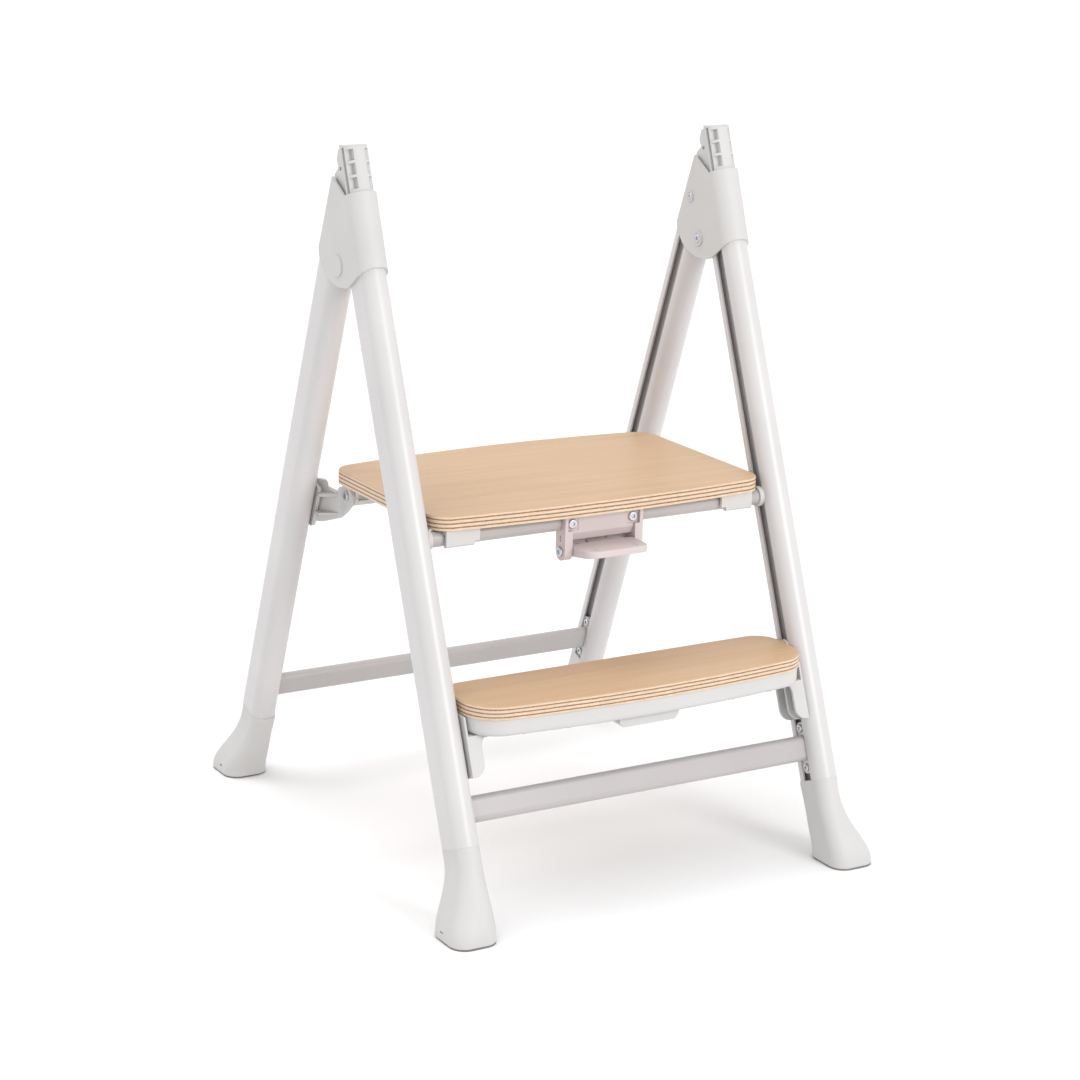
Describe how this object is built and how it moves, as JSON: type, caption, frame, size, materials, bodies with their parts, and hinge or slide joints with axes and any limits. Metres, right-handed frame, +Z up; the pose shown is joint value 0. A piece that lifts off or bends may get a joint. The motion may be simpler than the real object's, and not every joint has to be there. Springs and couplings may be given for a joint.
{
  "type": "step stool",
  "caption": "Folding two-step stool: greige metal A-frame legs with flared feet, hubs with open upper spigots, plywood platform and plywood lower step, finger latch under the platform",
  "frame": {"origin": "on the floor, at the middle of the footprint", "axes": "+Z up, -Y toward the front where the lower step is, +X toward the right leg pair"},
  "size_m": [0.5142, 0.611, 0.7592],
  "materials": {
    "frame_paint": "satin",
    "moulding": "matte",
    "sole": "matte",
    "plywood": "satin",
    "zinc": "satin"
  },
  "bodies": {
    "rear_frame": {"rear_leg_left": "frame_paint", "rear_leg_right": "frame_paint", "rear_crossbar": "frame_paint", "rear_bar_plates": "frame_paint", "rear_bar_screws": "zinc", "rear_foot_left": "moulding", "rear_foot_right": "moulding", "rear_foot_pads": "sole", "platform_bracket_left": "moulding", "platform_bracket_right": "moulding", "bracket_screws": "zinc", "platform_hinge_pins": "zinc", "hinge_head_left": "moulding", "hinge_head_right": "moulding"},
    "front_frame": {"front_leg_left": "frame_paint", "front_leg_right": "frame_paint", "front_crossbar": "frame_paint", "front_rail": "frame_paint", "front_bar_plates": "frame_paint", "front_foot_left": "moulding", "front_foot_right": "moulding", "hub_left": "moulding", "hub_right": "moulding", "spigot_left": "moulding", "spigot_right": "moulding", "pivot_caps": "moulding", "rail_collars": "moulding", "latch_housing": "moulding", "step_tray": "moulding", "step_bracket_left": "moulding", "step_bracket_right": "moulding", "front_foot_pads": "sole", "step_board": "plywood", "front_bar_screws": "zinc", "pivot_bolts": "zinc", "hub_screws": "zinc", "housing_screws": "zinc", "lever_pivot_screws": "zinc", "step_screws": "zinc", "step_bolts": "zinc"},
    "platform": {"platform_board": "plywood", "saddle_left": "moulding", "saddle_right": "moulding", "hinge_knuckle_left": "moulding", "hinge_knuckle_right": "moulding", "catch_plate": "zinc", "platform_screws": "zinc"},
    "latch_lever": {"latch_lever": "moulding", "latch_spring": "zinc"}
  },
  "joints": [
    {"name": "fold", "type": "hinge", "parent": "rear_frame", "child": "front_frame", "pos_m": [0, 0.0055, 0.636], "axis": [1, 0, 0], "range_deg": [0, 40]},
    {"name": "platform_tilt", "type": "hinge", "parent": "rear_frame", "child": "platform", "pos_m": [0, 0.091, 0.367], "axis": [-1, 0, 0], "range_deg": [0, 67]},
    {"name": "lever_pull", "type": "hinge", "parent": "front_frame", "child": "latch_lever", "pos_m": [0, -0.1346, 0.3444], "axis": [-1, 0, 0], "range_deg": [0, 12], "stiffness_Nm_per_rad": 0.3}
  ],
  "couplings": [
    {"joint": "platform_tilt", "follows": "fold", "ratio": 1.675}
  ]
}
